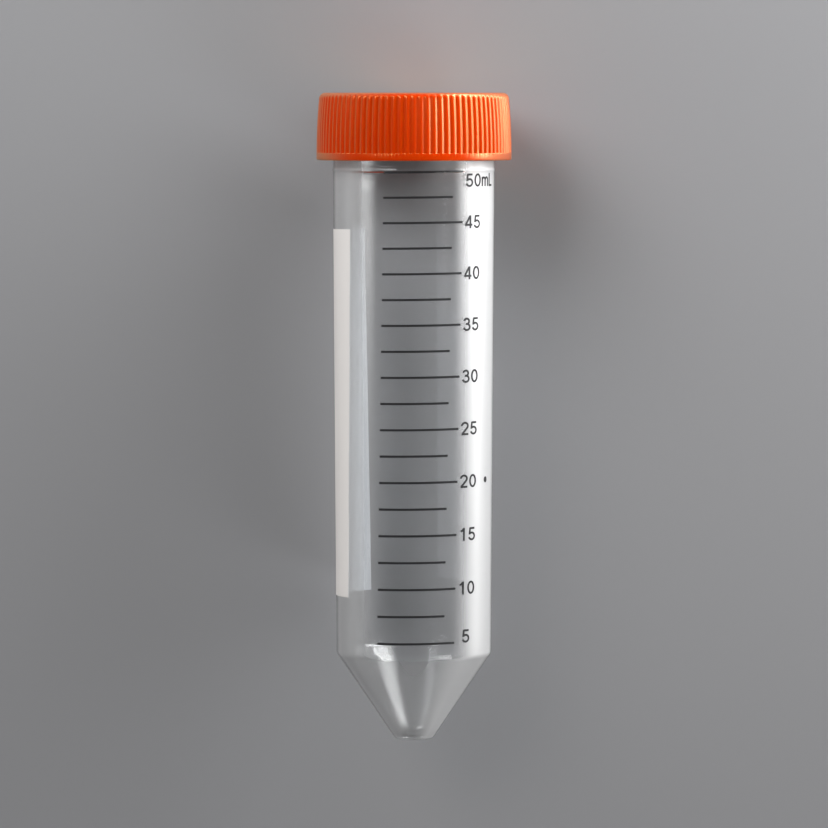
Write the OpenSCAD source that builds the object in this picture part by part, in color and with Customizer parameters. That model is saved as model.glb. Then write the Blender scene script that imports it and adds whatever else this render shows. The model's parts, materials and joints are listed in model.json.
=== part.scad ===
// 50 ml conical tube with a ribbed screw cap, lying on its side as it comes to rest.
// Each piece is drawn upright, tip at zero, and laid down by lie().

/* [Tube] */
// Height of the tube without its cap, from the tip to the rim
tube_h = 113.4; // [100:0.1:125]
// Outer diameter of the barrel at the rim
rim_d = 28.9; // [27.6:0.1:31]
// Outer diameter of the barrel where the cone starts
shoulder_d = 27.6; // [25:0.1:28.6]
// Wall thickness of the barrel and of the cone
wall = 0.95; // [0.7:0.05:1.6]
// Height of the cone, from the tip to the barrel
cone_h = 15.3; // [12:0.1:20]
// Diameter of the cone at its flat tip
tip_d = 6.8; // [5:0.1:9]
// Thickness of the floor inside the tip
tip_floor = 1.1; // [0.8:0.05:2]
// Rounding between the cone and the barrel
shoulder_round = 1.6; // [0.5:0.1:3]
// Rounding round the flat tip
tip_round = 0.6; // [0.2:0.1:1]
// Rounding of the floor inside the tip
floor_round = 2.4; // [1:0.1:3]
// Rounding of the rim's two edges
rim_round = 0.25; // [0.1:0.05:0.3]
// Depth of the straight land inside the mouth, which the cap's plug seals
land_h = 4; // [3.6:0.1:8]

/* [Cap] */
// Overall height of the cap
cap_h = 11.9; // [9:0.1:16]
// Thickness of the cap's top
cap_top = 1.6; // [1:0.1:2.5]
// Room between the barrel and the skirt, which the threads fill
thread_room = 1.0; // [0.7:0.05:1.6]
// Thickness of the skirt under the ribs
skirt_wall = 1.5; // [1:0.05:2.5]
// How much narrower the skirt is at the top than at the band
skirt_crown = 0.45; // [0.1:0.05:0.6]
// Height of the plain band at the open end
band_h = 1.25; // [0.6:0.05:2.5]
// Rounding of the band's lower edge
band_round = 0.25; // [0.1:0.05:0.5]
// Rounding of the top edge
crown_round = 1.1; // [0.6:0.1:1.6]

/* [Ribs] */
// Number of ribs round the skirt
rib_count = 90; // [48:1:120]
// Height of a rib above the groove beside it
rib_depth = 0.35; // [0.15:0.05:0.6]
// Share of the pitch that a rib takes
rib_share = 0.5; // [0.3:0.05:0.7]
// Distance from the cap's top to where the grooves start
rib_start = 0.5; // [0.3:0.05:1]

/* [Plug seal] */
// How far the plug ring reaches into the mouth
plug_h = 3; // [2:0.1:3.5]
// Thickness of the plug ring
plug_wall = 1.0; // [0.7:0.05:1.5]
// Radial clearance of the plug ring in the mouth
plug_fit = 0.05; // [0.02:0.01:0.1]
// Chamfer that leads the plug ring into the mouth
plug_lead = 0.3; // [0.1:0.05:0.6]

/* [Hidden] */
// Facets of a full turn, fine enough to be taken as a true circle
$fn = 96;
// Steps in a rounded corner, and along the skirt's crown
corner_steps = 6;
crown_steps = 5;
// How far a cutter reaches past the skirt
past = 1;
// Ribs that it is rolled round by as it lies, whole so that a rib faces the floor
rolled_ribs = 5;

// Barrel and cone: radii, and angles measured from the axis
rim_r = rim_d / 2;
shoulder_r = shoulder_d / 2;
tip_r = tip_d / 2;
draft = atan((rim_r - shoulder_r) / (tube_h - cone_h));
cone_a = atan((shoulder_r - tip_r) / cone_h);
// Height at which the inner cone meets the inner barrel
inner_cone_h = cone_h + wall * (1 / cos(cone_a) - 1) / (tan(cone_a) - tan(draft));
inner_shoulder_r = shoulder_r + (inner_cone_h - cone_h) * tan(draft) - wall;
inner_tip_r = tip_r + tip_floor * tan(cone_a) - wall / cos(cone_a);
land_z = tube_h - land_h;
mouth_r = rim_r - wall - land_h * tan(draft);

// Cap: the underside of its top seats on the rim
seat_h = cap_h - cap_top;
cap_z = tube_h - seat_h;
bore_r = rim_r + thread_room;
band_r = bore_r + skirt_wall + rib_depth;
top_r = band_r - skirt_crown;
plug_r = mouth_r - plug_fit;
crown_len = cap_h - crown_round - band_h;
crown_r = (crown_len * crown_len + skirt_crown * skirt_crown) / (2 * skirt_crown);
pitch_a = 360 / rib_count;
groove_a = pitch_a * (1 - rib_share);

// Lying down: the floor touches the band's lower edge and the shoulder, both rounded
band_c = [band_r - band_round, cap_z + band_round];
shoulder_c = corner_centre([shoulder_r, cone_h], -cone_a, -draft, shoulder_round);
span = band_c - shoulder_c;
lean = acos((shoulder_round - band_round) / norm(span)) - atan2(span.y, span.x);
axis_h = shoulder_c.x * cos(lean) - shoulder_c.y * sin(lean) + shoulder_round;
// Ends of the object along the floor, which its middle lies between
cap_end = (top_r - crown_round) * sin(lean) + (tube_h + cap_top - crown_round) * cos(lean)
    + crown_round;
tip_end = -tip_r * sin(lean);

// Centre of a rounded corner at p, between faces whose outward normals are at a0 and a1
function corner_centre(p, a0, a1, r) =
    p - r / cos((a1 - a0) / 2) * [cos((a0 + a1) / 2), sin((a0 + a1) / 2)];

// Points of that corner; a negative r rounds a corner of the hollow
function corner(p, a0, a1, r) =
    let (c = corner_centre(p, a0, a1, r))
    [for (k = [0:corner_steps]) let (a = a0 + (a1 - a0) * k / corner_steps)
        c + r * [cos(a), sin(a)]];

// Radius of the skirt's crest at height z above the band
function crest_r(z) = band_r - crown_r + sqrt(crown_r * crown_r - z * z);

// Crown of the skirt, from the band to the top edge, drawn in by a distance
function crown(inset, from, to) =
    [for (k = [0:crown_steps]) let (z = from + (to - from) * k / crown_steps)
        [crest_r(z) - inset, band_h + z]];

module lie() {
    translate([0, -(cap_end + tip_end) / 2, axis_h]) rotate([lean - 90, 0, 0])
        rotate([0, 0, rolled_ribs * pitch_a]) children();
}

module tube_section() {
    polygon(concat(
        [[0, 0]],
        corner([tip_r, 0], -90, -cone_a, tip_round),
        corner([shoulder_r, cone_h], -cone_a, -draft, shoulder_round),
        corner([rim_r, tube_h], -draft, 90, rim_round),
        corner([mouth_r, tube_h], 90, 180, rim_round),
        [[mouth_r, land_z]],
        corner([inner_shoulder_r, inner_cone_h], 180 - draft, 180 - cone_a, -shoulder_round),
        corner([inner_tip_r, tip_floor], 180 - cone_a, 90, -floor_round),
        [[0, tip_floor]]
    ));
}

module cap_section() {
    polygon(concat(
        [[bore_r, 0]],
        corner([band_r, 0], -90, 0, band_round),
        crown(0, 0, crown_len),
        corner([top_r, cap_h], 0, 90, crown_round),
        [[0, cap_h]],
        [[0, seat_h]],
        [[plug_r - plug_wall, seat_h]],
        [[plug_r - plug_wall, seat_h - plug_h]],
        [[plug_r - plug_lead, seat_h - plug_h]],
        [[plug_r, seat_h - plug_h + plug_lead]],
        [[plug_r, seat_h]],
        [[bore_r, seat_h]]
    ));
}

// One groove between two ribs: it follows the crown and ends at the band
module groove() {
    rotate([0, 0, -groove_a / 2]) rotate_extrude(angle = groove_a)
        polygon(concat(
            crown(rib_depth, 0, cap_h - rib_start - band_h),
            [[band_r + past, cap_h - rib_start]],
            [[band_r + past, band_h]]
        ));
}

module tube() {
    color([0.85, 0.89, 0.9, 0.5]) lie() rotate_extrude() tube_section();
}

module cap() {
    color([0.93, 0.3, 0.04]) lie() translate([0, 0, cap_z]) difference() {
        rotate_extrude() cap_section();
        for (k = [0:rib_count - 1]) rotate([0, 0, k * pitch_a]) groove();
    }
}

tube();
cap();
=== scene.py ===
"""Dresses a 50 ml conical tube: clear tube, ribbed screw cap, printed scale, writing patch and stage.

Every piece is a surface worked out round the tube's own axis. A place on it is an azimuth, a radius and a
height: the azimuth turns from the side away from the floor towards +X, and the height runs from the tip.
"""

import json
import math

import bpy
import numpy as np
from mathutils import Matrix, Vector


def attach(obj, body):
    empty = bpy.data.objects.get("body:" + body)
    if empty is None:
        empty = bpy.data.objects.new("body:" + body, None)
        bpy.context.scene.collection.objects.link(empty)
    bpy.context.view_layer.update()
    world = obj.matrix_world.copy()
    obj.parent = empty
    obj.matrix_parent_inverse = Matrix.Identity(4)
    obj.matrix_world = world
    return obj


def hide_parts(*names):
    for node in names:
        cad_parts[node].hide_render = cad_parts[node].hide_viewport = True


bl_info = {
    "name": "Conical Tube",
    "version": (1, 0, 0),
    "blender": (4, 5, 0),
    "location": "3D View > Sidebar > Conical Tube",
    "description": "Builds a 50 ml conical tube with its ribbed cap and printed scale round its packed frame",
    "category": "Object",
}

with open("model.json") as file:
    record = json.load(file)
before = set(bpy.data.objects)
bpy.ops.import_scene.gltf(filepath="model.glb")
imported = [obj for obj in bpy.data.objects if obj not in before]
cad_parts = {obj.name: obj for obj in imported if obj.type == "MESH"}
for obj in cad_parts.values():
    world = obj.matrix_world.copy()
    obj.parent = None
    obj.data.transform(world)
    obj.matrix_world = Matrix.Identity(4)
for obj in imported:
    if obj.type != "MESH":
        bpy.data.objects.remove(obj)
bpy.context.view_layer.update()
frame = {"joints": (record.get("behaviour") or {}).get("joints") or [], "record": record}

# Units, a full turn, and the length from the tip to the cap's top
MM = 0.001
ML = 1e-6
FULL_TURN = 2 * math.pi
OVERALL = 115.0 * MM

# How finely the shapes are cut: points round them, points along them, and the longest stretches
TUBE_COLUMNS = 288
COLUMNS_PER_RIB = 8
CORNER_STEPS = 6
CROWN_ROWS = 9
GROOVE_END_ROWS = 4
GATE_ROWS = 5
LINE_COLUMNS = 40
DOT_POINTS = 9
PATCH_ROWS = 25
PATCH_COLUMNS = 61
ARC_POINTS = 25
BAR_STEP = 0.1
COARSE = 4 * MM
FINE = 0.2 * MM
SHARP_EDGE = math.radians(40.0)

# The bead's spread, and the room below it before the neck's close rows, in bead heights
BEAD_SPREAD = 2.5
BEAD_ROOM = 5

# A thread's ridge: how many of its fading ends fill a turn, its reach in widths, and how steeply it falls
THREAD_FADE = 8
RIDGE_REACH = 0.75
RIDGE_FALL = 2

# A rib: the power that flattens its crest, and where the crown's even rows end, in lengths of a groove's end
CREST_POWER = 2.5
CROWN_END = 1.5

# The scale, in millilitres: its ends, the steps between lines and between numbered lines, and the dot's place
LOWEST = 5.0
HIGHEST = 50.0
STEP = 2.5
NUMBERED = 5.0
DOT_VOLUME = 20.0

# Layers that show where a surface is seen on edge: the slant, from 0 face on to 1 on edge, at which one
# starts, the slant at which it is full, and its most
# The first layer darkens the clear plastic's colour where its wall is seen on edge: painted shade
EDGE_PAINTED_SHADE = (0.45, 0.8, 1.0)
HAZE_START = (0.1, 0.45, 0.75)
HAZE_END = (0.72, 0.95, 0.9)
SHEEN = (0.12, 0.65, 0.46)

# Patterns: the size of their features, the depth of the relief that they give, and finer detail
FLOW = 2.2 * MM
FLOW_STRETCH = 120.0
FLOW_DEPTH = 0.006 * MM
HAZE_CLOUDS = 7 * MM
CAP_CLOUDS = 9 * MM
CAP_GRAIN = 0.4 * MM
CAP_GRAIN_DEPTH = 0.003 * MM
PRINT_CLOUDS = 5 * MM
PRINT_SPECKS = 0.12 * MM
PRINT_SPECK_DEPTH = 0.004 * MM
FINE_DETAIL = 3.0

# Roughness, and how much a pattern adds to it
CLEAR_ROUGHNESS = 0.02
CLEAR_ROUGHNESS_ADDED = 0.035
CAP_ROUGHNESS = 0.2
CAP_ROUGHNESS_ADDED = 0.08
INK_ROUGHNESS = 0.4
PATCH_ROUGHNESS = 0.5
PRINT_ROUGHNESS_ADDED = 0.15

# The tube's axis from its tip to its cap, the two directions across it, and its tip
AXIS = np.array(frame["joints"][0]["axis"], float)
SIDE = np.array([1.0, 0.0, 0.0])
FRONT = np.cross(SIDE, AXIS)
MOUNTS = {mount["name"]: mount for mount in frame["record"]["mounts"]}
TIP = np.array(MOUNTS["cap_top"]["pos_m"], float) - OVERALL * AXIS


# ---- Sizes and finishes -------------------------------------------------------------------------------


def length(name, description, default):
    """A length property, in metres."""
    return bpy.props.FloatProperty(
        name=name, description=description, default=default, unit="LENGTH", subtype="DISTANCE", precision=5
    )


def angle(name, description, degrees):
    """An angle property, given in degrees."""
    return bpy.props.FloatProperty(
        name=name, description=description, default=math.radians(degrees), unit="ROTATION", subtype="ANGLE"
    )


def amount(name, description, default):
    """A plain number property."""
    return bpy.props.FloatProperty(name=name, description=description, default=default, precision=3)


def colour(name, description, default):
    """A colour property, in linear light."""
    return bpy.props.FloatVectorProperty(
        name=name, description=description, default=default, size=3, min=0.0, max=1.0, subtype="COLOR"
    )


class TubeSizes(bpy.types.PropertyGroup):
    """Sizes of the clear tube."""

    height: length("Height", "From the tip to the rim", 113.4 * MM)
    rim: length("Rim diameter", "Outer diameter of the barrel at the rim", 28.9 * MM)
    shoulder: length("Shoulder diameter", "Outer diameter of the barrel where the cone starts", 27.6 * MM)
    wall: length("Wall", "Thickness of the barrel and of the cone", 0.95 * MM)
    cone: length("Cone height", "From the tip to the barrel", 15.3 * MM)
    tip: length("Tip diameter", "Outer diameter of the flat tip", 6.8 * MM)
    floor: length("Floor", "Thickness of the floor inside the tip", 1.1 * MM)
    shoulder_round: length("Shoulder rounding", "Radius between the cone and the barrel", 1.6 * MM)
    tip_round: length("Tip rounding", "Radius round the flat tip", 0.6 * MM)
    floor_round: length("Floor rounding", "Radius of the floor inside the tip", 2.4 * MM)
    rim_round: length("Rim rounding", "Radius of the rim's two edges", 0.25 * MM)
    land: length("Land", "Depth of the straight land inside the mouth", 4.0 * MM)
    bead: length("Bead", "Height of the fine bead round the neck", 0.1 * MM)
    bead_drop: length("Bead drop", "From the cap's lower edge down to the bead", 1.75 * MM)


class ThreadSizes(bpy.types.PropertyGroup):
    """Sizes of the thread on the neck and of the one inside the cap that it meets."""

    pitch: length("Pitch", "Rise of the thread in one turn", 3.6 * MM)
    turns: amount("Turns", "Number of turns of each thread", 1.5)
    start: length("Start", "Height of the neck thread's start above the cap's lower edge", 2.7 * MM)
    width: length("Width", "Width of a ridge at half its height", 1.25 * MM)
    gap: length("Gap", "Play between the two threads along the axis", 0.1 * MM)
    neck_ridge: length("Neck ridge", "Height of the ridge on the neck", 0.5 * MM)
    cap_ridge: length("Cap ridge", "Height of the ridge inside the cap", 0.4 * MM)


class CapSizes(bpy.types.PropertyGroup):
    """Sizes of the screw cap."""

    height: length("Height", "Overall height of the cap", 11.9 * MM)
    top: length("Top", "Thickness of the cap's top", 1.6 * MM)
    room: length("Thread room", "Room between the barrel and the skirt", 1.0 * MM)
    skirt: length("Skirt wall", "Thickness of the skirt under the ribs", 1.6 * MM)
    crown: length("Crown", "How much narrower the skirt is at the top than at the band", 0.45 * MM)
    band: length("Band", "Height of the plain band at the open end", 1.25 * MM)
    band_round: length("Band rounding", "Radius of the band's lower edge", 0.25 * MM)
    crown_round: length("Top rounding", "Radius of the top edge", 1.1 * MM)
    ribs: bpy.props.IntProperty(name="Ribs", description="Number of ribs round the skirt", default=90, min=12)
    rib_depth: length("Rib depth", "Height of a rib above the groove beside it", 0.25 * MM)
    rib_end: length("Rib end", "Length over which a groove runs out at the band", 0.08 * MM)
    plug: length("Plug", "How far the plug ring reaches into the mouth", 3.0 * MM)
    plug_wall: length("Plug wall", "Thickness of the plug ring", 1.0 * MM)
    plug_fit: length("Plug fit", "Radial clearance of the plug ring in the mouth", 0.05 * MM)
    plug_lead: length("Plug lead", "Chamfer that leads the plug ring into the mouth", 0.3 * MM)
    gate: length("Gate mark", "Radius of the moulding mark in the middle of the top", 1.3 * MM)
    gate_depth: length("Gate depth", "Depth of that mark", 0.12 * MM)


class PrintSizes(bpy.types.PropertyGroup):
    """Places and sizes of the printed scale and patch. Azimuths are given at the tip's height."""

    drift: angle("Drift", "Turn of the print round the tube, from the tip to the rim", 8.6)
    rise: angle("Rise", "Slope of the lines, up towards their right end", 0.65)
    drop: length("Drop", "How far the lines sit below the true level", 0.94 * MM)
    spread: amount("Spread", "How much farther apart the lines sit than the true levels", 1.0024)
    line: length("Line", "Thickness of a graduation line", 0.4 * MM)
    line_start: angle("Line start", "Azimuth of the lines' left end", -29.4)
    long_end: angle("Long end", "Azimuth of a numbered line's right end", 29.5)
    short_end: angle("Short end", "Azimuth of a half line's right end", 21.0)
    numeral_start: angle("Numeral start", "Azimuth of the numerals' left end", 31.9)
    digit: length("Digit height", "Height of a digit", 2.28 * MM)
    digit_width: amount("Digit width", "Widening of the figures", 1.14)
    stroke: amount("Stroke", "Width of a digit's strokes as a share of its height", 0.16)
    spacing: amount("Spacing", "Gap between figures as a share of their height", 0.15)
    head_drop: length("Head drop", "How far the highest numeral sits below its line", 1.6 * MM)
    foot_rise: length("Foot rise", "How far the lowest numeral sits above its line", 1.02 * MM)
    dot: length("Dot", "Diameter of the dot beside the scale", 1.1 * MM)
    dot_azimuth: angle("Dot azimuth", "Azimuth of the dot", 60.4)
    dot_rise: length("Dot rise", "How far the dot sits above its line", 0.1 * MM)
    patch_near: angle("Patch near edge", "Azimuth of the patch's edge beside the scale", -58.7)
    patch_far: angle("Patch far edge", "Azimuth of the patch's other edge", -145.9)
    patch_low: length("Patch foot", "Height of the patch's lower edge", 25.8 * MM)
    patch_high: length("Patch head", "Height of the patch's upper edge", 91.0 * MM)
    lift: length("Lift", "Gap between the wall and the print, which keeps them apart", 0.008 * MM)
    film: length("Film", "Thickness of the print", 0.02 * MM)


class Finishes(bpy.types.PropertyGroup):
    """Colours of the finishes."""

    clear: colour("Clear plastic", "Tint of the tube", (0.985, 0.99, 0.99))
    haze: colour("Haze", "Gloss of the clear plastic, where its wall is seen on edge", (0.95, 0.95, 0.95))
    # Painted shade: the tube's colour turns to this dark tint where its wall is seen on edge
    edge: colour("Edge", "Tint of the clear plastic, where its wall is seen on edge", (0.2, 0.205, 0.21))
    cap: colour("Cap", "Main colour of the cap", (0.62, 0.042, 0.001))
    cap_deep: colour("Cap, deep", "Slightly deeper patches in the cap's colour", (0.57, 0.034, 0.0005))
    cap_glint: colour("Cap glint", "Tint of the cap's gloss, where it is seen face on", (1.0, 0.6, 0.2))
    cap_sheen: colour("Cap sheen", "Sheen of the cap's plastic, where it is seen on edge", (0.88, 0.66, 0.32))
    shade: colour("Shade", "Tint of the light that shines straight through the tube", (0.94, 0.945, 0.95))
    ink: colour("Ink", "Scale and numerals", (0.012, 0.012, 0.013))
    ink_thin: colour("Ink, thin", "Where the ink lies thinner", (0.03, 0.03, 0.032))
    white: colour("White print", "Writing patch", (0.9, 0.865, 0.835))
    white_thin: colour("White print, thin", "Where the white lies thinner", (0.86, 0.825, 0.8))
    # Painted shade: the white patch's back is given this darker grey, as it looks through the wall
    white_back: colour("White print, back", "The patch as it looks through the wall", (0.5, 0.51, 0.53))
    floor: colour("Floor", "Floor", (0.26, 0.26, 0.268))


class StageSizes(bpy.types.PropertyGroup):
    """Camera, lamps and floor."""

    distance: length("Camera distance", "From the tube's axis to the camera", 975.8 * MM)
    eye: length("Eye level", "How far past the cap's top the camera stands", 0.7 * MM)
    aim: length("Aim", "Height on the axis that the camera looks at", 57.9 * MM)
    lens: amount("Lens", "Focal length in millimetres", 238.7)
    edge: amount("Edge", "Share of a softbox's sides over which its light falls off at two edges", 0.55)
    key: amount("Key light", "Radiance of the softbox on the right", 15.0)
    key_azimuth: angle("Key azimuth", "Azimuth of that softbox", 79.0)
    key_reach: length("Key distance", "From the tube's axis to that softbox", 0.3)
    key_width: length("Key width", "Width of that softbox", 0.28)
    key_length: length("Key length", "Length of that softbox along the tube", 0.54)
    key_along: length("Key place", "How far along the tube that softbox stands", 0.18)
    side: amount("Side light", "Radiance of the softbox on the left beyond the cap", 11.5)
    side_azimuth: angle("Side azimuth", "Azimuth of that softbox", -45.0)
    side_reach: length("Side distance", "From the tube's axis to that softbox", 0.5)
    side_along: length("Side place", "How far along the tube that softbox stands", 0.3)
    side_size: length("Side size", "Length of that softbox's sides", 0.4)
    top: amount("Top light", "Radiance of the softbox high up beyond the tip", 6.0)
    top_azimuth: angle("Top azimuth", "Azimuth of that softbox", 45.0)
    top_reach: length("Top distance", "From the tube's axis to that softbox", 0.8)
    top_along: length("Top place", "How far along the tube that softbox stands", -0.5)
    top_size: length("Top size", "Length of that softbox's sides", 0.5)
    sky_low: amount("Low sky", "Radiance of the even light near the horizon", 0.15)
    sky_high: amount("High sky", "Radiance of the even light overhead", 0.03)
    floor: length("Floor", "Length of the floor's sides", 8.0)


# ---- Shapes -------------------------------------------------------------------------------------------


def place(azimuth, radius, height):
    """Positions round the axis: tip + height * AXIS + radius * (cos azimuth * FRONT + sin azimuth * SIDE)."""
    azimuth, radius, height = np.broadcast_arrays(azimuth, radius, height)
    out = (radius * np.cos(azimuth))[..., None] * FRONT
    right = (radius * np.sin(azimuth))[..., None] * SIDE
    return TIP + height[..., None] * AXIS + out + right


def corner(point, start, end, radius):
    """Points of a rounded corner between faces whose outward normals are at start and end, in degrees.

    The centre lies radius / cos(half the turn) behind the corner, along the middle normal, and each point is
    centre + radius * (cos a, sin a). A negative radius rounds a corner of the hollow.
    """
    start, end = math.radians(start), math.radians(end)
    middle = np.array([math.cos((start + end) / 2), math.sin((start + end) / 2)])
    centre = np.array(point) - radius / math.cos((end - start) / 2) * middle
    a = np.linspace(start, end, CORNER_STEPS + 1)
    return centre + radius * np.stack([np.cos(a), np.sin(a)], axis=1)


def filled(points, step):
    """A path with points added evenly along each stretch that is longer than step."""
    points = np.asarray(points, float)
    stretches = [
        np.linspace(a, b, max(1, math.ceil(np.linalg.norm(b - a) / step)), endpoint=False)
        for a, b in zip(points[:-1], points[1:])
    ]
    return np.concatenate([*stretches, points[-1:]])


def smooth_step(value):
    """0 below 0, 1 above 1 and 3 v^2 - 2 v^3 between."""
    v = np.clip(value, 0.0, 1.0)
    return v * v * (3 - 2 * v)


def outwards(points, faces):
    """The faces, turned round if the volume inside, the sum of a . (b x c) / 6 over fans, is negative."""
    volume = 0.0
    for corners in faces:
        fan = points[corners]
        for k in range(1, corners.shape[1] - 1):
            volume += np.sum(fan[:, 0] * np.cross(fan[:, k], fan[:, k + 1]))
    return faces if volume > 0 else [corners[:, ::-1] for corners in faces]


def piece(name, shape, material, body):
    """A mesh object at the origin that rides on a CAD body, smooth apart from its sharp edges."""
    points, faces = shape
    mesh = bpy.data.meshes.new(name)
    corners = [face for group in outwards(points, faces) for face in group.tolist()]
    mesh.from_pydata(points, [], corners)
    mesh.shade_smooth()
    mesh.set_sharp_from_angle(angle=SHARP_EDGE)
    mesh.materials.append(material)
    if mesh.validate():
        raise RuntimeError(f"{name} has faces that can't be kept")
    made = bpy.data.objects.new(name, mesh)
    bpy.context.scene.collection.objects.link(made)
    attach(made, body)
    return made


def revolved(profile, relief):
    """Points and faces of a closed turned body.

    Point (i, j) is place(2 pi j / columns, radius i + relief (i, j), height i). The profile starts and ends
    on the axis, where the rows close in a pole.
    """
    rows, columns = relief.shape
    turn = np.arange(columns) * (FULL_TURN / columns)
    grid = place(turn[None], profile[1:-1, :1] + relief, profile[1:-1, 1:])
    ends = place(0.0, 0.0, profile[[0, -1], 1])
    points = np.concatenate([ends[:1], grid.reshape(-1, 3), ends[1:]])
    at = 1 + np.arange(rows * columns).reshape(rows, columns)
    on = np.roll(at, -1, axis=1)
    quads = np.stack([at[:-1], on[:-1], on[1:], at[1:]], axis=-1).reshape(-1, 4)
    first = np.stack([np.zeros(columns, int), on[0], at[0]], axis=-1)
    last = np.stack([np.full(columns, len(points) - 1), at[-1], on[-1]], axis=-1)
    return points, [quads, np.concatenate([first, last])]


def helix(turn, height, start, sizes):
    """1 on the crest of a right-handed ridge and 0 beside it.

    Turn k's centre line is at start + pitch * (turn / 2 pi + k), the flanks fall off smoothly round half the
    width, and the two ends fade out over an eighth of a turn.
    """
    ridge = np.zeros(np.broadcast(turn, height).shape)
    for k in range(math.ceil(sizes.turns)):
        along = turn / FULL_TURN + k
        away = np.abs(height - start - sizes.pitch * along) / sizes.width
        ends = smooth_step(along * THREAD_FADE) * smooth_step((sizes.turns - along) * THREAD_FADE)
        ridge = np.maximum(ridge, smooth_step((RIDGE_REACH - away) * RIDGE_FALL) * ends)
    return ridge


class Wall:
    """The tube's walls, worked out from its sizes.

    The inside is the outside moved in by the wall, so across the axis the cone's wall is the wall times
    sqrt(1 + steep^2), with steep the cone's spread per height. The two insides meet a little above the cone.
    """

    def __init__(self, tube):
        self.tube = tube
        self.rim, self.shoulder, self.tip = tube.rim / 2, tube.shoulder / 2, tube.tip / 2
        self.slope = (self.rim - self.shoulder) / (tube.height - tube.cone)
        steep = (self.shoulder - self.tip) / tube.cone
        across = tube.wall * math.hypot(1, steep)
        self.draft = math.degrees(math.atan(self.slope))
        self.cone = math.degrees(math.atan(steep))
        self.inner_cone = tube.cone + (across - tube.wall) / (steep - self.slope)
        self.inner_shoulder = self.shoulder + (self.inner_cone - tube.cone) * self.slope - tube.wall
        self.inner_tip = self.tip + tube.floor * steep - across
        self.mouth = self.rim - tube.wall - tube.land * self.slope

    def radius(self, height):
        """Outer radius of the barrel at a height: a straight taper."""
        return self.shoulder + (height - self.tube.cone) * self.slope

    def outside(self, neck):
        """Outer profile from the tip to the rim, with close rows from the neck's height up."""
        tube = self.tube
        low = np.concatenate(
            [
                [(0.0, 0.0)],
                corner((self.tip, 0.0), -90, -self.cone, tube.tip_round),
                corner((self.shoulder, tube.cone), -self.cone, -self.draft, tube.shoulder_round),
                [(self.radius(neck), neck)],
            ]
        )
        rim = corner((self.rim, tube.height), -self.draft, 90, tube.rim_round)
        return np.concatenate([filled(low, COARSE)[:-1], filled(np.concatenate([low[-1:], rim]), FINE)])

    def inside(self):
        """Inner profile from the mouth down to the floor."""
        tube = self.tube
        shoulder = (self.inner_shoulder, self.inner_cone)
        return np.concatenate(
            [
                corner((self.mouth, tube.height), 90, 180, tube.rim_round),
                [(self.mouth, tube.height - tube.land)],
                corner(shoulder, 180 - self.draft, 180 - self.cone, -tube.shoulder_round),
                corner((self.inner_tip, tube.floor), 180 - self.cone, 90, -tube.floor_round),
                [(0.0, tube.floor)],
            ]
        )

    def level(self, volume):
        """Heights that volumes fill the tube to: the sum of pi r^2 dh from the floor reaches them there."""
        radius, height = filled(self.inside()[::-1], FINE).T
        discs = math.pi * (radius[1:] ** 2 + radius[:-1] ** 2) / 2 * np.diff(height)
        held = np.concatenate([[0.0], np.cumsum(discs)])
        if np.max(volume) > held[-1]:
            raise ValueError("the tube is too small for its scale")
        return np.interp(volume, held, height)


def tube_shape(tube, cap, thread):
    """The tube's wall turned round the axis, with the fine bead and the neck's thread as relief.

    The bead is a swell of its height * exp(-(distance / spread)^2) under the cap's lower edge.
    """
    wall = Wall(tube)
    cap_edge = tube.height + cap.top - cap.height
    bead = cap_edge - tube.bead_drop
    outside = wall.outside(bead - BEAD_ROOM * tube.bead)
    profile = np.concatenate([outside, filled(wall.inside(), COARSE)])
    turn = np.arange(TUBE_COLUMNS) * (FULL_TURN / TUBE_COLUMNS)
    height = outside[1:, 1:]
    ridge = helix(turn, height, cap_edge + thread.start, thread) * thread.neck_ridge
    swell = tube.bead * np.exp(-(((height - bead) / (BEAD_SPREAD * tube.bead)) ** 2))
    relief = np.zeros((len(profile) - 2, TUBE_COLUMNS))
    relief[: len(height)] = ridge + swell
    return revolved(profile, relief)


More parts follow.
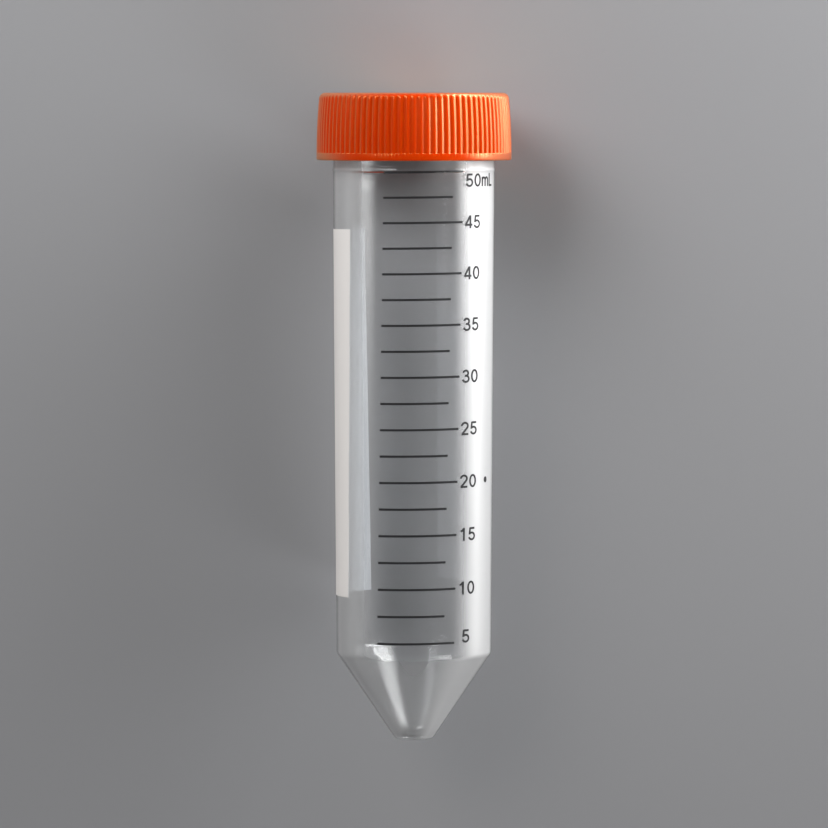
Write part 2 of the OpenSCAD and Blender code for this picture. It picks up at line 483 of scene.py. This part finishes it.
def cap_shape(tube, cap, thread):
    """The cap turned round the axis, with grooves between its ribs and the thread in its bore as relief.

    The skirt's crest is an arc of radius (rise^2 + crown^2) / (2 crown) that draws in by the crown, and its
    grooves run out on the rounded top edge.
    """
    wall = Wall(tube)
    seat = cap.height - cap.top
    bore = wall.rim + cap.room
    band = bore + cap.skirt + cap.rib_depth
    top = band - cap.crown
    rise = cap.height - cap.crown_round - cap.band
    bend = (rise**2 + cap.crown**2) / (2 * cap.crown)
    plug = wall.mouth - cap.plug_fit
    dimple = np.linspace(0.0, cap.gate, GATE_ROWS)
    dish = cap.gate_depth * (1 - smooth_step(dimple / cap.gate))
    above = np.linspace(rise, CROWN_END * cap.rib_end, CROWN_ROWS)
    steps = np.concatenate([above, np.linspace(cap.rib_end, 0.0, GROOVE_END_ROWS)])
    outside = np.concatenate(
        [
            np.stack([dimple, cap.height - dish], axis=1),
            [(top / 2, cap.height)],
            corner((top, cap.height), 90, 0, cap.crown_round)[:-1],
            np.stack([band - bend + np.sqrt(bend**2 - steps**2), cap.band + steps], axis=1),
            corner((band, 0.0), 0, -90, cap.band_round),
            [(bore, 0.0)],
        ]
    )
    bored = filled([(bore, FINE), (bore, seat)], FINE)
    inside = [
        (plug, seat),
        (plug, seat - cap.plug + cap.plug_lead),
        (plug - cap.plug_lead, seat - cap.plug),
        (plug - cap.plug_wall, seat - cap.plug),
        (plug - cap.plug_wall, seat),
        (0.0, seat),
    ]
    profile = np.concatenate([outside, bored, filled(inside, COARSE)])
    radius, height = profile[1:-1].T
    columns = cap.ribs * COLUMNS_PER_RIB
    turn = np.arange(columns) * (FULL_TURN / columns)

    # Grooves: full depth above the band, less where the top edge has already drawn in, and between two
    # crests the share 1 - (1 - x^power)^2 of it, with x from 0 on a crest to 1 in the middle of a groove
    skirt = np.arange(len(height)) < len(outside) - 1
    crest = band - bend + np.sqrt(bend**2 - np.clip(height - cap.band, 0.0, rise) ** 2)
    depth = np.clip(cap.rib_depth - np.maximum(crest - radius, 0.0), 0.0, None) * skirt
    depth *= smooth_step((height - cap.band) / cap.rib_end)
    off_crest = np.abs((turn * cap.ribs / FULL_TURN + 0.5) % 1 - 0.5) * 2
    relief = -depth[:, None] * (1 - (1 - off_crest**CREST_POWER) ** 2)

    # Thread: just under the neck's own, and shallow enough to pass it when the cap is lifted straight off
    start = thread.start - thread.width - thread.gap
    on_bore = slice(len(outside) - 1, len(outside) - 1 + len(bored))
    relief[on_bore] -= helix(turn, bored[:, 1:], start, thread) * thread.cap_ridge
    profile[:, 1] += tube.height - seat
    return revolved(profile, relief)


def film_shape(azimuth, height, wall, sizes):
    """Points and faces of a closed film over a grid of azimuths and heights on the barrel.

    Its faces are place(azimuth, wall radius + lift, height) and the same with the film's thickness added, and
    a rim joins them round the grid's edge.
    """
    radius = wall.radius(height) + sizes.lift
    layers = [place(azimuth, radius + up, height).reshape(-1, 3) for up in (sizes.film, 0.0)]
    at = np.arange(azimuth.size).reshape(azimuth.shape)
    quads = np.stack([at[:-1, :-1], at[1:, :-1], at[1:, 1:], at[:-1, 1:]], axis=-1).reshape(-1, 4)
    edge = np.concatenate([at[0, :-1], at[:-1, -1], at[-1, :0:-1], at[:0:-1, 0]])
    on = np.roll(edge, -1)
    rim = np.stack([edge, on, on + at.size, edge + at.size], axis=-1)
    return np.concatenate(layers), [np.concatenate([quads, quads[:, ::-1] + at.size, rim])]


def joined(shapes):
    """Several shapes as one, with each shape's corners counted on from those before it."""
    starts = np.cumsum([0, *(len(points) for points, _ in shapes)])
    faces = [group + start for start, (_, groups) in zip(starts, shapes) for group in groups]
    return np.concatenate([points for points, _ in shapes]), faces


def marks(wall, sizes):
    """(volume in ml, height on the barrel) of each graduation, from the lowest to the highest."""
    volumes = np.arange(LOWEST, HIGHEST + STEP / 2, STEP)
    return list(zip(volumes.tolist(), wall.level(volumes * ML) * sizes.spread - sizes.drop))


def drifted(azimuth, height, wall, sizes):
    """An azimuth at a height: the print turns evenly round the tube on its way up."""
    return azimuth + sizes.drift * height / wall.tube.height


def tilted(azimuth, height, wall, sizes):
    """A height at an azimuth: level prints climb by the arc from the scale's middle times tan(rise)."""
    middle = drifted((sizes.line_start + sizes.long_end) / 2, height, wall, sizes)
    return height + wall.radius(height) * (azimuth - middle) * math.tan(sizes.rise)


def line_shape(volume, height, wall, sizes):
    """A graduation line: a strip between its two ends, half the line's thickness to each side."""
    end = sizes.short_end if volume % NUMBERED else sizes.long_end
    azimuth = drifted(np.linspace(sizes.line_start, end, LINE_COLUMNS)[None], height, wall, sizes)
    edges = height + np.array([[-0.5], [0.5]]) * sizes.line
    azimuth, edges = np.broadcast_arrays(azimuth, edges)
    return film_shape(azimuth, tilted(azimuth, edges, wall, sizes), wall, sizes)


def dot_shape(height, wall, sizes):
    """A round dot: u and v from -1 to 1 give the disc (u sqrt(1 - v^2 / 2), v sqrt(1 - u^2 / 2))."""
    u, v = np.meshgrid(np.linspace(-1, 1, DOT_POINTS), np.linspace(-1, 1, DOT_POINTS))
    reach = sizes.dot / 2
    azimuth = drifted(sizes.dot_azimuth, height, wall, sizes)
    azimuth = azimuth + reach * u * np.sqrt(1 - v**2 / 2) / wall.radius(height)
    return film_shape(azimuth, height + sizes.dot_rise + reach * v * np.sqrt(1 - u**2 / 2), wall, sizes)


def patch_shape(wall, sizes):
    """The writing patch: a grid between its two edges, whose head and foot climb as the lines do."""
    height = np.linspace(sizes.patch_low, sizes.patch_high, PATCH_ROWS)[:, None]
    azimuth = np.linspace(sizes.patch_far, sizes.patch_near, PATCH_COLUMNS)[None]
    climb = wall.radius(sizes.patch_high) * (azimuth - sizes.patch_near) * math.tan(sizes.rise)
    height = height + climb
    return film_shape(drifted(azimuth, height, wall, sizes), height, wall, sizes)


def arc(x, y, across, up, start, end):
    """Points (x + across * cos a, y + up * sin a), with a from start to end in degrees."""
    a = np.radians(np.linspace(start, end, ARC_POINTS))
    return np.stack([x + across * np.cos(a), y + up * np.sin(a)], axis=1)


def bar(*points):
    """Points along straight lines, close enough to bend round the barrel."""
    return filled(points, BAR_STEP)


# Each figure's width, and its strokes' middle lines, in figures that are 1 high
FIGURES = {
    "0": (0.66, [arc(0.33, 0.5, 0.265, 0.44, 90, 450)]),
    "1": (0.66, [bar((0.41, 0.0), (0.41, 1.0)), bar((0.12, 0.75), (0.28, 0.79), (0.37, 0.93))]),
    "2": (
        0.66,
        [
            np.concatenate([arc(0.325, 0.705, 0.26, 0.235, 180, -35), bar((0.5, 0.52), (0.09, 0.08))]),
            bar((0.03, 0.06), (0.63, 0.06)),
        ],
    ),
    "3": (
        0.66,
        [
            arc(0.31, 0.735, 0.215, 0.205, 170, -90),
            arc(0.32, 0.295, 0.265, 0.235, 90, -170),
            bar((0.22, 0.53), (0.34, 0.53)),
        ],
    ),
    "4": (
        0.66,
        [bar((0.44, 0.95), (0.06, 0.3)), bar((0.0, 0.27), (0.66, 0.27)), bar((0.47, 0.0), (0.47, 1.0))],
    ),
    "5": (
        0.66,
        [
            bar((0.13, 0.94), (0.6, 0.94)),
            bar((0.17, 0.98), (0.1, 0.45)),
            arc(0.32, 0.325, 0.265, 0.265, 140, -165),
        ],
    ),
    "m": (
        0.86,
        [
            bar((0.06, 0.0), (0.06, 0.74)),
            np.concatenate([arc(0.25, 0.49, 0.18, 0.19, 180, 0), bar((0.43, 0.45), (0.43, 0.0))]),
            np.concatenate([arc(0.62, 0.49, 0.18, 0.19, 180, 0), bar((0.8, 0.45), (0.8, 0.0))]),
        ],
    ),
    "L": (0.52, [bar((0.06, 0.0), (0.06, 1.0)), bar((0.06, 0.06), (0.52, 0.06))]),
}


def stroke(path, width):
    """The two sides of a stroke: its middle line less and plus half the width along its left normal."""
    along = np.gradient(path, axis=0)
    left = np.stack([-along[:, 1], along[:, 0]], axis=1) / np.linalg.norm(along, axis=1)[:, None]
    return np.stack([path - left * width / 2, path + left * width / 2])


def numeral_shape(text, height, wall, sizes):
    """Figures wrapped on the barrel: a stroke's x becomes the azimuth x / radius, and its y the height.

    A numeral is centred in the room of two digits, and one that is wider starts at that room's left end.
    """
    widths = np.array([FIGURES[figure][0] for figure in text])
    starts = np.concatenate([[0.0], np.cumsum(widths + sizes.spacing)])
    room = 2 * FIGURES["0"][0] + sizes.spacing
    inset = max(0.0, room - (starts[-1] - sizes.spacing)) / 2
    first = drifted(sizes.numeral_start, height, wall, sizes)
    shapes = []
    for start, figure in zip(starts, text):
        for path in FIGURES[figure][1]:
            x, y = np.moveaxis(stroke(path, sizes.stroke), 2, 0)
            azimuth = first + (start + inset + x) * sizes.digit * sizes.digit_width / wall.radius(height)
            up = height + (y - 0.5) * sizes.digit
            shapes.append(film_shape(azimuth, tilted(azimuth, up, wall, sizes), wall, sizes))
    return joined(shapes)


# ---- Finishes -----------------------------------------------------------------------------------------


class Wire:
    """A socket of a node tree, on which +, - and * add Math nodes."""

    def __init__(self, tree, socket=None):
        self.tree = tree
        self.socket = socket

    def node(self, kind, settings=None, inputs=None, output=0):
        """One output of a new node, made from its type, its settings and its sockets' values or links."""
        made = self.tree.nodes.new(kind)
        for name, value in (settings or {}).items():
            setattr(made, name, value)
        for name, value in (inputs or {}).items():
            socket = self.find(made.inputs, name)
            if isinstance(value, Wire):
                self.tree.links.new(value.socket, socket)
            else:
                socket.default_value = value
        return Wire(self.tree, self.find(made.outputs, output) if made.outputs else None)

    @staticmethod
    def find(sockets, name):
        """The socket with an identifier or else a name or number."""
        named = [socket for socket in sockets if socket.identifier == name]
        return named[0] if named else sockets[name]

    def math(self, operation, first, second):
        """A Math node on two values."""
        return self.node("ShaderNodeMath", {"operation": operation}, {0: first, 1: second})

    def vector(self, operation, first, second, output=0):
        """A Vector Math node on two values."""
        return self.node("ShaderNodeVectorMath", {"operation": operation}, {0: first, 1: second}, output)

    def mixed(self, first, second):
        """A colour between two, by this value."""
        inputs = {"Factor_Float": self, "A_Color": first, "B_Color": second}
        return self.node("ShaderNodeMix", {"data_type": "RGBA"}, inputs, "Result_Color")

    def __add__(self, other):
        return self.math("ADD", self, other)

    def __radd__(self, other):
        return self.math("ADD", other, self)

    def __sub__(self, other):
        return self.math("SUBTRACT", self, other)

    def __rsub__(self, other):
        return self.math("SUBTRACT", other, self)

    def __mul__(self, other):
        return self.math("MULTIPLY", self, other)

    def __rmul__(self, other):
        return self.math("MULTIPLY", other, self)


def opaque(rgb):
    """A colour with an alpha of 1."""
    return (*rgb, 1.0)


def new_material(name):
    """An empty node material, and a wire that its nodes start from."""
    material = bpy.data.materials.new(name)
    material.use_nodes = True
    material.node_tree.nodes.clear()
    return material, Wire(material.node_tree)


def along_axis(wire, stretch=1.0):
    """Object coordinates turned so that Z runs up the tube from its tip, and drawn out along it."""
    lean = math.acos(AXIS[2])
    inputs = {
        "Vector": wire.node("ShaderNodeTexCoord", output="Object"),
        "Location": Vector(TIP),
        "Rotation": (-lean, 0.0, 0.0),
        "Scale": (1.0, 1.0, stretch),
    }
    return wire.node("ShaderNodeMapping", {"vector_type": "TEXTURE"}, inputs)


def noise(wire, where, size, detail=2.0):
    """Soft noise from 0 to 1, with features of about a size in metres."""
    return wire.node("ShaderNodeTexNoise", inputs={"Vector": where, "Scale": 1 / size, "Detail": detail})


def inwards(wire):
    """1 where a surface faces the tube's axis, and 0 where it faces away from it."""
    where = wire.node("ShaderNodeTexCoord", output="Object")
    from_tip = wire.vector("SUBTRACT", where, Vector(TIP))
    height = wire.vector("DOT_PRODUCT", from_tip, Vector(AXIS), "Value")
    up_axis = wire.node("ShaderNodeVectorMath", {"operation": "SCALE"}, {0: Vector(AXIS), "Scale": height})
    outward = wire.vector("SUBTRACT", from_tip, up_axis)
    normal = wire.node("ShaderNodeNewGeometry", output="Normal")
    return wire.math("LESS_THAN", wire.vector("DOT_PRODUCT", normal, outward, "Value"), 0.0)


def slant(wire, start, end, most):
    """0 where a surface is seen face on, and up to a most where it is seen on edge."""
    facing = wire.node("ShaderNodeLayerWeight", inputs={"Blend": 0.5}, output="Facing")
    ramp = {"Value": facing, "From Min": start, "From Max": end, "To Min": 0.0, "To Max": most}
    return wire.node("ShaderNodeMapRange", {"interpolation_type": "SMOOTHSTEP"}, ramp, "Result")


def bump(wire, height, depth):
    """A normal that follows a height from 0 to 1, times a depth in metres."""
    return wire.node("ShaderNodeBump", inputs={"Height": height, "Distance": depth, "Strength": 1.0})


def clear_plastic(look):
    """Clear moulded plastic with faint streaks of flow along the tube.

    Towards its edges its colour darkens, a painted shade, and on the outside of its wall it is hazy. Light
    from the lamps, and from what is behind it, shines straight through it, a little dimmed.
    """
    material, wire = new_material("clear_plastic")
    streaks = noise(wire, along_axis(wire, FLOW_STRETCH), FLOW)
    clouds = noise(wire, along_axis(wire), HAZE_CLOUDS)
    normal = bump(wire, streaks, FLOW_DEPTH)
    inputs = {
        # Painted shade: the base colour darkens towards the wall's edges
        "Base Color": slant(wire, *EDGE_PAINTED_SHADE).mixed(opaque(look.clear), opaque(look.edge)),
        "Transmission Weight": 0.99,
        "IOR": 1.5,
        "Roughness": CLEAR_ROUGHNESS + CLEAR_ROUGHNESS_ADDED * clouds,
        "Normal": normal,
    }
    clear = wire.node("ShaderNodeBsdfPrincipled", inputs=inputs)
    milk = {"Color": opaque(look.haze), "Roughness": 0.6, "Normal": normal}
    haze = wire.node("ShaderNodeBsdfGlossy", inputs=milk)
    from_within = wire.node("ShaderNodeNewGeometry", output="Backfacing")
    share = slant(wire, *HAZE_START) * (1 - slant(wire, *HAZE_END))
    share = share * (1 - inwards(wire)) * (1 - from_within)
    solid = wire.node("ShaderNodeMixShader", inputs={0: share, 1: clear, 2: haze})
    lit_through = wire.node("ShaderNodeBsdfTransparent", inputs={"Color": opaque(look.shade)})
    shadow = wire.node("ShaderNodeLightPath", output="Is Shadow Ray")
    diffuse = wire.node("ShaderNodeLightPath", output="Is Diffuse Ray")
    shader = wire.node("ShaderNodeMixShader", inputs={0: shadow + diffuse, 1: solid, 2: lit_through})
    wire.node("ShaderNodeOutputMaterial", inputs={"Surface": shader})
    return material


def cap_plastic(look):
    """Satin moulded plastic, slightly translucent, with clouds, a fine grain and a sheen on edge."""
    material, wire = new_material("cap_plastic")
    where = along_axis(wire)
    clouds = noise(wire, where, CAP_CLOUDS)
    grain = noise(wire, where, CAP_GRAIN, FINE_DETAIL)
    normal = bump(wire, grain, CAP_GRAIN_DEPTH)
    inputs = {
        "Base Color": clouds.mixed(opaque(look.cap), opaque(look.cap_deep)),
        "Roughness": CAP_ROUGHNESS + CAP_ROUGHNESS_ADDED * grain,
        "Specular IOR Level": 0.5,
        "Specular Tint": opaque(look.cap_glint),
        "Normal": normal,
        "Subsurface Weight": 0.4,
        "Subsurface Radius": (1.0, 0.4, 0.15),
        "Subsurface Scale": 1.2 * MM,
    }
    body = wire.node("ShaderNodeBsdfPrincipled", inputs=inputs)
    gloss = {"Color": opaque(look.cap_sheen), "Roughness": 0.3, "Normal": normal}
    sheen = wire.node("ShaderNodeBsdfGlossy", inputs=gloss)
    shader = wire.node("ShaderNodeMixShader", inputs={0: slant(wire, *SHEEN), 1: body, 2: sheen})
    wire.node("ShaderNodeOutputMaterial", inputs={"Surface": shader})
    return material


def print_film(name, thick, thin, back, rough):
    """Printed ink: a little thinner in specks and clouds, with the specks in its gloss and surface.

    Its back, where the normal . (the way out from the axis) is below 0, takes another colour: a painted shade
    for the white patch, the thin ink for the scale.
    """
    material, wire = new_material(name)
    where = along_axis(wire)
    specks = noise(wire, where, PRINT_SPECKS, FINE_DETAIL)
    clouds = noise(wire, where, PRINT_CLOUDS)
    front = (0.5 * specks + 0.5 * clouds).mixed(opaque(thick), opaque(thin))
    inputs = {
        # Faces towards the axis take the back colour, which for the white patch is a painted shade
        "Base Color": inwards(wire).mixed(front, opaque(back)),
        "Roughness": rough + PRINT_ROUGHNESS_ADDED * specks,
        "Specular IOR Level": 0.25,
        "Normal": bump(wire, specks, PRINT_SPECK_DEPTH),
    }
    shader = wire.node("ShaderNodeBsdfPrincipled", inputs=inputs)
    wire.node("ShaderNodeOutputMaterial", inputs={"Surface": shader})
    return material


def ink(look):
    """The ink of the scale, made when it is first asked for."""
    made = bpy.data.materials.get("ink")
    return made or print_film("ink", look.ink, look.ink_thin, look.ink_thin, INK_ROUGHNESS)


def floor_paint(look):
    """A plain satin floor."""
    material, wire = new_material("floor_paint")
    inputs = {"Base Color": opaque(look.floor), "Roughness": 0.5, "Specular IOR Level": 0.5}
    shader = wire.node("ShaderNodeBsdfPrincipled", inputs=inputs)
    wire.node("ShaderNodeOutputMaterial", inputs={"Surface": shader})
    return material


# ---- Stage --------------------------------------------------------------------------------------------


def aimed(position, target, up):
    """The matrix of a camera or lamp at a position that looks at a target, with its top towards up."""
    back = (Vector(position) - Vector(target)).normalized()
    right = Vector(up).cross(back).normalized()
    turn = Matrix((right, back.cross(right), back)).transposed()
    return Matrix.Translation(position) @ turn.to_4x4()


def softbox(name, position, across, along, radiance, edge):
    """An area lamp aimed at the middle of the tube. Its power is pi * radiance * area.

    Its light falls off smoothly over a share of its sides, towards one edge along the tube and the one
    nearer the tip.
    """
    lamp = bpy.data.lights.new(name, "AREA")
    lamp.shape = "RECTANGLE"
    lamp.size = across
    lamp.size_y = along
    lamp.energy = math.pi * radiance * across * along
    lamp.use_nodes = True
    lamp.node_tree.nodes.clear()
    wire = Wire(lamp.node_tree)
    spot = wire.node("ShaderNodeNewGeometry", output="Parametric")
    level = 1.0
    for way in "XY":
        share = wire.node("ShaderNodeSeparateXYZ", inputs={"Vector": spot}, output=way)
        ramp = {"Value": share, "From Min": 0.0, "From Max": edge, "To Min": 0.0, "To Max": 1.0}
        level = level * wire.node("ShaderNodeMapRange", {"interpolation_type": "SMOOTHSTEP"}, ramp, "Result")
    light = wire.node("ShaderNodeEmission", inputs={"Strength": level})
    wire.node("ShaderNodeOutputLight", inputs={"Surface": light})
    holder = bpy.data.objects.new(name, lamp)
    holder.matrix_world = aimed(position, TIP + AXIS * OVERALL / 2, AXIS)
    holder.visible_camera = False
    bpy.context.scene.collection.objects.link(holder)


def sky(stage):
    """An even world light that dims from the horizon to overhead: low + (high - low) * z * (2 - z)."""
    world = bpy.data.worlds.new("sky")
    world.use_nodes = True
    world.node_tree.nodes.clear()
    wire = Wire(world.node_tree)
    direction = wire.node("ShaderNodeTexCoord", output="Generated")
    z = wire.node("ShaderNodeSeparateXYZ", inputs={"Vector": direction}, output="Z")
    up = wire.math("MAXIMUM", z, 0.0)
    level = stage.sky_low + (stage.sky_high - stage.sky_low) * up * (2 - up)
    light = wire.node("ShaderNodeBackground", inputs={"Color": opaque((1.0, 1.0, 1.0)), "Strength": level})
    wire.node("ShaderNodeOutputWorld", inputs={"Surface": light})
    return world


def add_floor(size, material):
    """A square floor under the part, at z = 0."""
    half = size / 2
    mesh = bpy.data.meshes.new("floor")
    corners = [(-half, -half, 0.0), (half, -half, 0.0), (half, half, 0.0), (-half, half, 0.0)]
    mesh.from_pydata(corners, [], [(0, 1, 2, 3)])
    mesh.materials.append(material)
    floor = bpy.data.objects.new("floor", mesh)
    bpy.context.scene.collection.objects.link(floor)


# ---- Add-on -------------------------------------------------------------------------------------------


class TUBE_OT_wall(bpy.types.Operator):
    """Add the clear tube with its neck thread"""

    bl_idname = "conical_tube.add_wall"
    bl_label = "Add tube"

    def execute(self, context):
        scene = context.scene
        material = clear_plastic(scene.tube_finishes)
        shape = tube_shape(scene.tube_sizes, scene.tube_cap, scene.tube_thread)
        made = piece("clear_tube", shape, material, "tube")
        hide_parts("tube")
        return {"FINISHED"}


class TUBE_OT_cap(bpy.types.Operator):
    """Add the ribbed screw cap with its thread and plug ring"""

    bl_idname = "conical_tube.add_cap"
    bl_label = "Add cap"

    def execute(self, context):
        scene = context.scene
        material = cap_plastic(scene.tube_finishes)
        shape = cap_shape(scene.tube_sizes, scene.tube_cap, scene.tube_thread)
        made = piece("screw_cap", shape, material, "cap")
        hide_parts("cap")
        return {"FINISHED"}


class TUBE_OT_lines(bpy.types.Operator):
    """Add the graduation lines and the dot beside them"""

    bl_idname = "conical_tube.add_lines"
    bl_label = "Add graduation lines"

    def execute(self, context):
        scene = context.scene
        wall, sizes, look = Wall(scene.tube_sizes), scene.tube_print, scene.tube_finishes
        material = ink(look)
        lines = [line_shape(volume, height, wall, sizes) for volume, height in marks(wall, sizes)]
        dot = dot_shape(dict(marks(wall, sizes))[DOT_VOLUME], wall, sizes)
        piece("graduation_lines", joined(lines), material, "tube")
        piece("scale_dot", dot, material, "tube")
        return {"FINISHED"}


class TUBE_OT_numerals(bpy.types.Operator):
    """Add the numerals beside every other line"""

    bl_idname = "conical_tube.add_numerals"
    bl_label = "Add numerals"

    def execute(self, context):
        scene = context.scene
        wall, sizes, look = Wall(scene.tube_sizes), scene.tube_print, scene.tube_finishes
        material = ink(look)
        heights = {int(volume): height for volume, height in marks(wall, sizes) if volume % NUMBERED == 0}
        heights[min(heights)] += sizes.foot_rise
        heights[max(heights)] -= sizes.head_drop
        texts = {volume: f"{volume}mL" if volume == max(heights) else str(volume) for volume in heights}
        shapes = [numeral_shape(texts[volume], heights[volume], wall, sizes) for volume in heights]
        piece("numerals", joined(shapes), material, "tube")
        return {"FINISHED"}


class TUBE_OT_patch(bpy.types.Operator):
    """Add the white patch for writing on"""

    bl_idname = "conical_tube.add_patch"
    bl_label = "Add writing patch"

    def execute(self, context):
        scene = context.scene
        look = scene.tube_finishes
        material = print_film("white_print", look.white, look.white_thin, look.white_back, PATCH_ROUGHNESS)
        shape = patch_shape(Wall(scene.tube_sizes), scene.tube_print)
        piece("writing_patch", shape, material, "tube")
        return {"FINISHED"}


class TUBE_OT_stage(bpy.types.Operator):
    """Add the floor, the soft light and the camera that looks down on the tube"""

    bl_idname = "conical_tube.add_stage"
    bl_label = "Add stage"

    def execute(self, context):
        scene = context.scene
        stage = scene.tube_stage
        add_floor(stage.floor, floor_paint(scene.tube_finishes))
        middle = OVERALL / 2
        key = place(stage.key_azimuth, stage.key_reach, middle + stage.key_along)
        side = place(stage.side_azimuth, stage.side_reach, middle + stage.side_along)
        top = place(stage.top_azimuth, stage.top_reach, middle + stage.top_along)
        softbox("key_light", key, stage.key_width, stage.key_length, stage.key, stage.edge)
        softbox("side_light", side, stage.side_size, stage.side_size, stage.side, stage.edge)
        softbox("top_light", top, stage.top_size, stage.top_size, stage.top, stage.edge)
        scene.world = sky(stage)
        view = bpy.data.cameras.new("camera")
        view.lens = stage.lens
        camera = bpy.data.objects.new("camera", view)
        position = place(0.0, stage.distance, OVERALL + stage.eye)
        camera.matrix_world = aimed(position, place(0.0, 0.0, stage.aim), AXIS)
        scene.collection.objects.link(camera)
        scene.camera = camera
        scene.view_settings.view_transform = "Standard"
        return {"FINISHED"}


class TUBE_PT_parts(bpy.types.Panel):
    """The pieces, in the order in which they are added, and their sizes"""

    bl_idname = "TUBE_PT_parts"
    bl_label = "Conical Tube"
    bl_space_type = "VIEW_3D"
    bl_region_type = "UI"
    bl_category = "Conical Tube"

    def draw(self, context):
        for operator in OPERATORS:
            self.layout.operator(operator.bl_idname)
        for name in GROUPS:
            box = self.layout.box()
            group = getattr(context.scene, name)
            for prop in group.bl_rna.properties:
                if not prop.is_readonly:
                    box.prop(group, prop.identifier)


OPERATORS = [TUBE_OT_wall, TUBE_OT_cap, TUBE_OT_lines, TUBE_OT_numerals, TUBE_OT_patch, TUBE_OT_stage]
GROUPS = {
    "tube_sizes": TubeSizes,
    "tube_thread": ThreadSizes,
    "tube_cap": CapSizes,
    "tube_print": PrintSizes,
    "tube_finishes": Finishes,
    "tube_stage": StageSizes,
}


def register():
    """Register the sizes, the operators and the panel."""
    for name, group in GROUPS.items():
        bpy.utils.register_class(group)
        setattr(bpy.types.Scene, name, bpy.props.PointerProperty(type=group))
    for kind in [*OPERATORS, TUBE_PT_parts]:
        bpy.utils.register_class(kind)


def unregister():
    """Take them away again, in the opposite order."""
    for kind in [TUBE_PT_parts, *reversed(OPERATORS)]:
        bpy.utils.unregister_class(kind)
    for name, group in reversed(GROUPS.items()):
        delattr(bpy.types.Scene, name)
        bpy.utils.unregister_class(group)


def main():
    """Add every piece and the stage."""
    register()
    bpy.ops.conical_tube.add_wall()
    bpy.ops.conical_tube.add_cap()
    bpy.ops.conical_tube.add_lines()
    bpy.ops.conical_tube.add_numerals()
    bpy.ops.conical_tube.add_patch()
    bpy.ops.conical_tube.add_stage()


if __name__ == "__main__":
    main()
